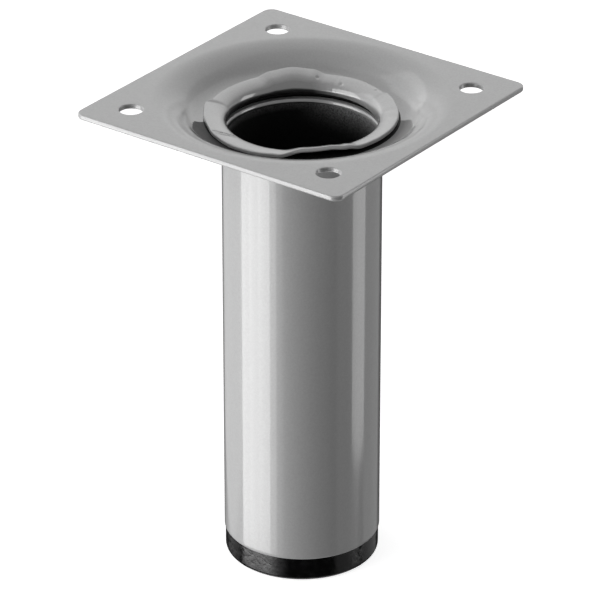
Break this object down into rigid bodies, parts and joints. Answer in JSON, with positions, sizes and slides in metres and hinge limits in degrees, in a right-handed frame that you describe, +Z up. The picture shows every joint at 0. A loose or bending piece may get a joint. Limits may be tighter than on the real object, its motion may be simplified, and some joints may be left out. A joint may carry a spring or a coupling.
{
  "type": "furniture leg",
  "caption": "Short round furniture leg: a steel tube rolled over on a square, dished mounting plate with screw holes, closed at the foot by a plastic cap.",
  "frame": {"origin": "centre of the foot cap's underside, where the leg stands", "axes": "+Z up along the tube towards the mounting plate, X and Y along the plate's sides"},
  "size_m": [0.06, 0.06, 0.095],
  "materials": {
    "silver_coat": "silver-grey powder coat, satin gloss",
    "black_plastic": "moulded, satin"
  },
  "bodies": {
    "root": {"mounting_plate": "silver_coat", "leg_tube": "silver_coat", "foot_cap": "black_plastic"}
  },
  "joints": []
}
